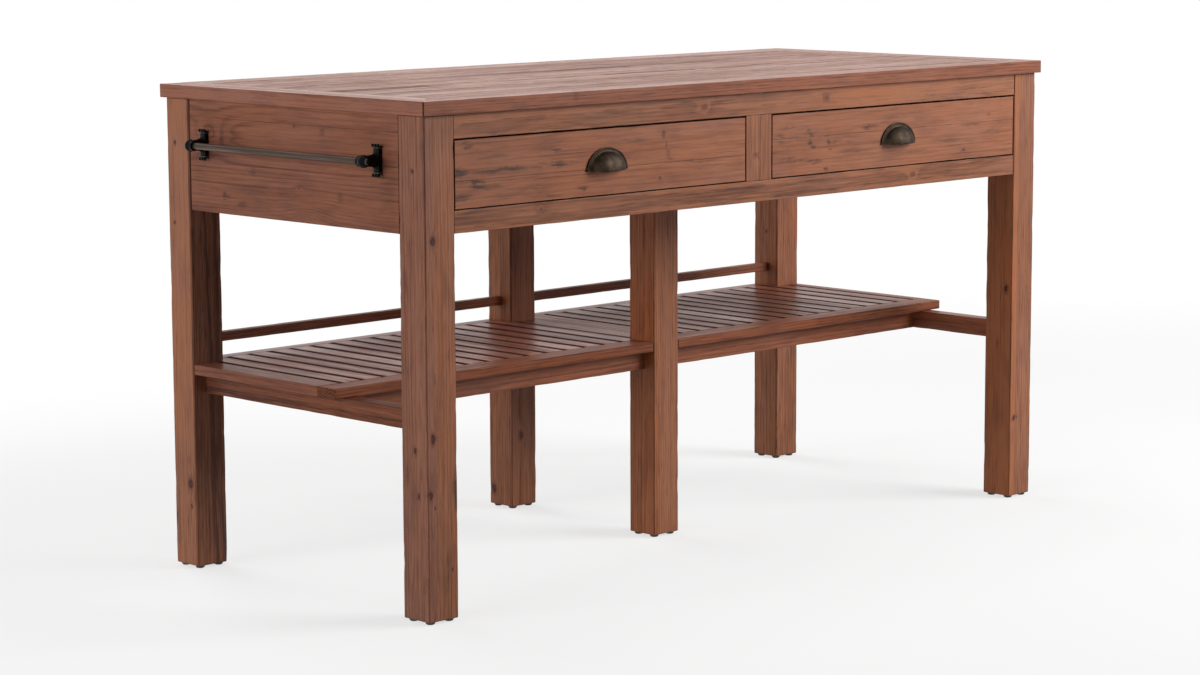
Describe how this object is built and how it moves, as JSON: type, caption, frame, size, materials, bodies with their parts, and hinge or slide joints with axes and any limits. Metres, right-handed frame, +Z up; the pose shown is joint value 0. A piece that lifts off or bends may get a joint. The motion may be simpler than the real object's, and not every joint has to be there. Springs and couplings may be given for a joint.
{
  "type": "kitchen island",
  "caption": "Free-standing kitchen island in reclaimed pine with a plank worktop, inset drawers with cup pulls, a slatted lower shelf and a towel bar on one end.",
  "frame": {"origin": "middle of the bottom of the object's box, on the floor; the middle plane of the legs is at x = +18.75 mm and y = +7 mm because the towel bar and the pulls stand out", "axes": "+X along the length, to the right as seen from the drawer side; +Y to the back; +Z up"},
  "size_m": [1.7374, 0.759, 0.914],
  "materials": {
    "worktop_pine": "reddish brown stain, satin, with open joints and small checks",
    "frame_pine": "reddish brown stain, satin, with knots and nail marks",
    "shelf_pine": "reddish brown stain, satin",
    "drawer_front_pine": "reddish brown stain, satin, with dark knots, nail holes and old streaks",
    "drawer_box_pine": "clear, planed",
    "drawer_ply": "clear, sanded",
    "aged_bronze": "dark aged bronze, satin",
    "black_iron": "black, slightly glossy",
    "zinc_steel": "zinc plated",
    "black_plastic": "matte"
  },
  "bodies": {
    "frame": {"back_panel_left": "frame_pine", "back_panel_right": "frame_pine", "drawer_kickers": "drawer_box_pine", "drawer_runners": "drawer_box_pine", "end_panel_left": "frame_pine", "end_panel_right": "frame_pine", "foot_glides": "black_plastic", "front_bottom_rail": "frame_pine", "front_stile": "frame_pine", "front_top_rail": "frame_pine", "gallery_bar_left": "frame_pine", "gallery_bar_right": "frame_pine", "leg_back_left": "frame_pine", "leg_back_middle": "frame_pine", "leg_back_right": "frame_pine", "leg_front_left": "frame_pine", "leg_front_right": "frame_pine", "leg_shelf_middle": "frame_pine", "runner_screws": "zinc_steel", "shelf_back_board_left": "shelf_pine", "shelf_back_board_right": "shelf_pine", "shelf_back_rails": "frame_pine", "shelf_end_boards_left": "shelf_pine", "shelf_end_boards_right": "shelf_pine", "shelf_front_board_left": "shelf_pine", "shelf_front_board_right": "shelf_pine", "shelf_front_rails": "frame_pine", "shelf_slats_left": "shelf_pine", "shelf_slats_right": "shelf_pine", "stretcher_left": "frame_pine", "stretcher_middle": "frame_pine", "stretcher_right": "frame_pine", "top_border_back": "worktop_pine", "top_border_front": "worktop_pine", "top_border_left": "worktop_pine", "top_border_right": "worktop_pine", "top_plank_1": "worktop_pine", "top_plank_2": "worktop_pine", "top_plank_3": "worktop_pine", "top_plank_4": "worktop_pine", "top_plank_5": "worktop_pine", "towel_bar": "aged_bronze", "towel_bracket_back": "black_iron", "towel_bracket_front": "black_iron", "towel_bracket_screws": "black_iron", "worktop_screws": "zinc_steel"},
    "drawer_left": {"drawer_left_back": "drawer_box_pine", "drawer_left_bottom": "drawer_ply", "drawer_left_front": "drawer_front_pine", "drawer_left_pull": "aged_bronze", "drawer_left_pull_screws": "zinc_steel", "drawer_left_side_left": "drawer_box_pine", "drawer_left_side_right": "drawer_box_pine"},
    "drawer_right": {"drawer_right_back": "drawer_box_pine", "drawer_right_bottom": "drawer_ply", "drawer_right_front": "drawer_front_pine", "drawer_right_pull": "aged_bronze", "drawer_right_pull_screws": "zinc_steel", "drawer_right_side_left": "drawer_box_pine", "drawer_right_side_right": "drawer_box_pine"}
  },
  "joints": [
    {"name": "drawer_left_slide", "type": "slide", "parent": "frame", "child": "drawer_left", "axis": [0, -1, 0], "range_m": [0, 0.4]},
    {"name": "drawer_right_slide", "type": "slide", "parent": "frame", "child": "drawer_right", "axis": [0, -1, 0], "range_m": [0, 0.4]}
  ]
}
